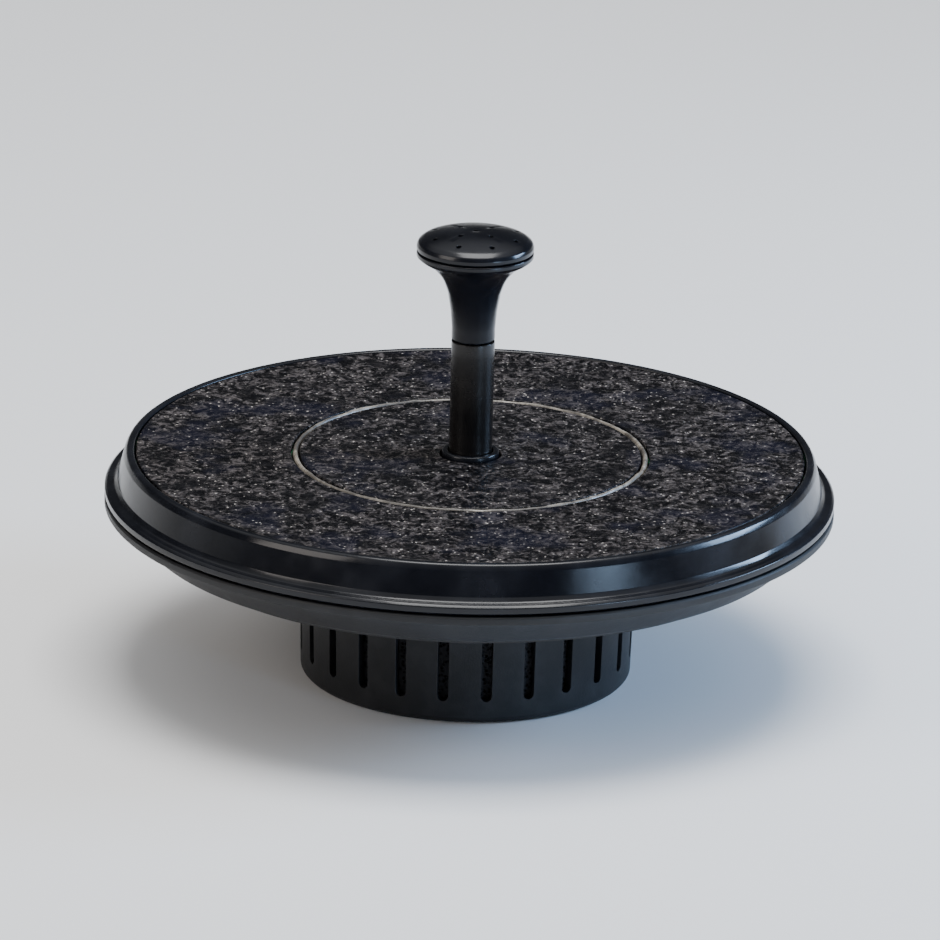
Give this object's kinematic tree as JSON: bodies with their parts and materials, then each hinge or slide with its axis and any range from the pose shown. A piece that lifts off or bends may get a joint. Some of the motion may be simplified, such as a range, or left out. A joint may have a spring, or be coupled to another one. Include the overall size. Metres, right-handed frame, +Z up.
{
  "type": "floating fountain pump",
  "caption": "Round floating solar fountain pump: disc float with an annular panel, central riser with a trumpet spray head, small centrifugal pump in a slotted strainer basket.",
  "frame": {"origin": "centre of the strainer basket's flat underside, on the float's own axis", "axes": "+Z up along the float, riser and spray head; +X along the pump's horizontal rotor axis, towards its inlet"},
  "size_m": [0.16, 0.16, 0.101],
  "materials": {
    "black_plastic": "satin",
    "black_matt_plastic": "matt",
    "panel_cover": "pebbled satin, dark",
    "solar_cell": "dark blue-black",
    "circuit_board": "green solder mask",
    "pale_silicone": "satin",
    "black_rubber": "matt",
    "white_foam": "closed-cell foam",
    "filter_sponge": "open-cell sponge",
    "stainless_steel": "plain",
    "core_steel": "varnished laminations",
    "copper_wire": "enamelled copper",
    "potting_resin": "cast epoxy",
    "ferrite_magnet": "ground ferrite",
    "ceramic_shaft": "polished",
    "white_plastic": "moulded",
    "capacitor_can": "plain",
    "red_insulation": "satin"
  },
  "bodies": {
    "float": {"cable_grommet": "black_rubber", "capacitor": "capacitor_can", "control_board": "circuit_board", "controller_chip": "potting_resin", "discharge_pipe": "black_plastic", "float_foam": "white_foam", "hub_plate": "black_plastic", "hub_ring": "pale_silicone", "hub_seal": "black_rubber", "inductor": "copper_wire", "lower_shell": "black_matt_plastic", "motor_board": "circuit_board", "motor_lead": "black_rubber", "outlet_seal": "black_rubber", "panel_board": "circuit_board", "panel_cell_1": "solar_cell", "panel_cell_2": "solar_cell", "panel_cell_3": "solar_cell", "panel_cell_4": "solar_cell", "panel_cell_5": "solar_cell", "panel_cell_6": "solar_cell", "panel_cell_7": "solar_cell", "panel_cell_8": "solar_cell", "panel_cover": "panel_cover", "panel_lead_negative": "black_rubber", "panel_lead_positive": "red_insulation", "potting_plug": "potting_resin", "pump_casing": "black_matt_plastic", "pump_screw_1": "stainless_steel", "pump_screw_2": "stainless_steel", "pump_screw_3": "stainless_steel", "rotor_shaft": "ceramic_shaft", "shaft_bush_rear": "black_rubber", "shell_gasket": "black_rubber", "shell_screw_1": "stainless_steel", "shell_screw_2": "stainless_steel", "shell_screw_3": "stainless_steel", "shell_screw_4": "stainless_steel", "shell_screw_5": "stainless_steel", "shell_screw_6": "stainless_steel", "stator_coil_1": "copper_wire", "stator_coil_2": "copper_wire", "stator_coil_3": "copper_wire", "stator_coil_4": "copper_wire", "stator_core": "core_steel", "upper_shell": "black_plastic"},
    "rotor": {"rotor_magnet": "ferrite_magnet", "impeller": "white_plastic"},
    "pump_cover": {"pump_cover": "black_plastic", "shaft_bush_front": "black_rubber", "cover_seal": "black_rubber"},
    "strainer": {"strainer_basket": "black_matt_plastic", "filter_sponge": "filter_sponge"},
    "riser": {"riser_tube": "black_plastic", "riser_seal": "black_rubber"},
    "nozzle": {"nozzle_body": "black_plastic", "nozzle_cap": "black_plastic"}
  },
  "joints": [
    {"name": "rotor_spin", "type": "hinge", "parent": "float", "child": "rotor", "pos_m": [0, -0.006, 0.016], "axis": [1, 0, 0], "continuous": true},
    {"name": "cover_twist", "type": "hinge", "parent": "float", "child": "pump_cover", "pos_m": [0.007, -0.006, 0.016], "axis": [1, 0, 0], "range_deg": [0, 30]},
    {"name": "strainer_pull", "type": "slide", "parent": "float", "child": "strainer", "axis": [0, 0, -1], "range_m": [0, 0.034]},
    {"name": "riser_pull", "type": "slide", "parent": "float", "child": "riser", "axis": [0, 0, 1], "range_m": [0, 0.016]},
    {"name": "nozzle_pull", "type": "slide", "parent": "riser", "child": "nozzle", "axis": [0, 0, 1], "range_m": [0, 0.0125]}
  ]
}
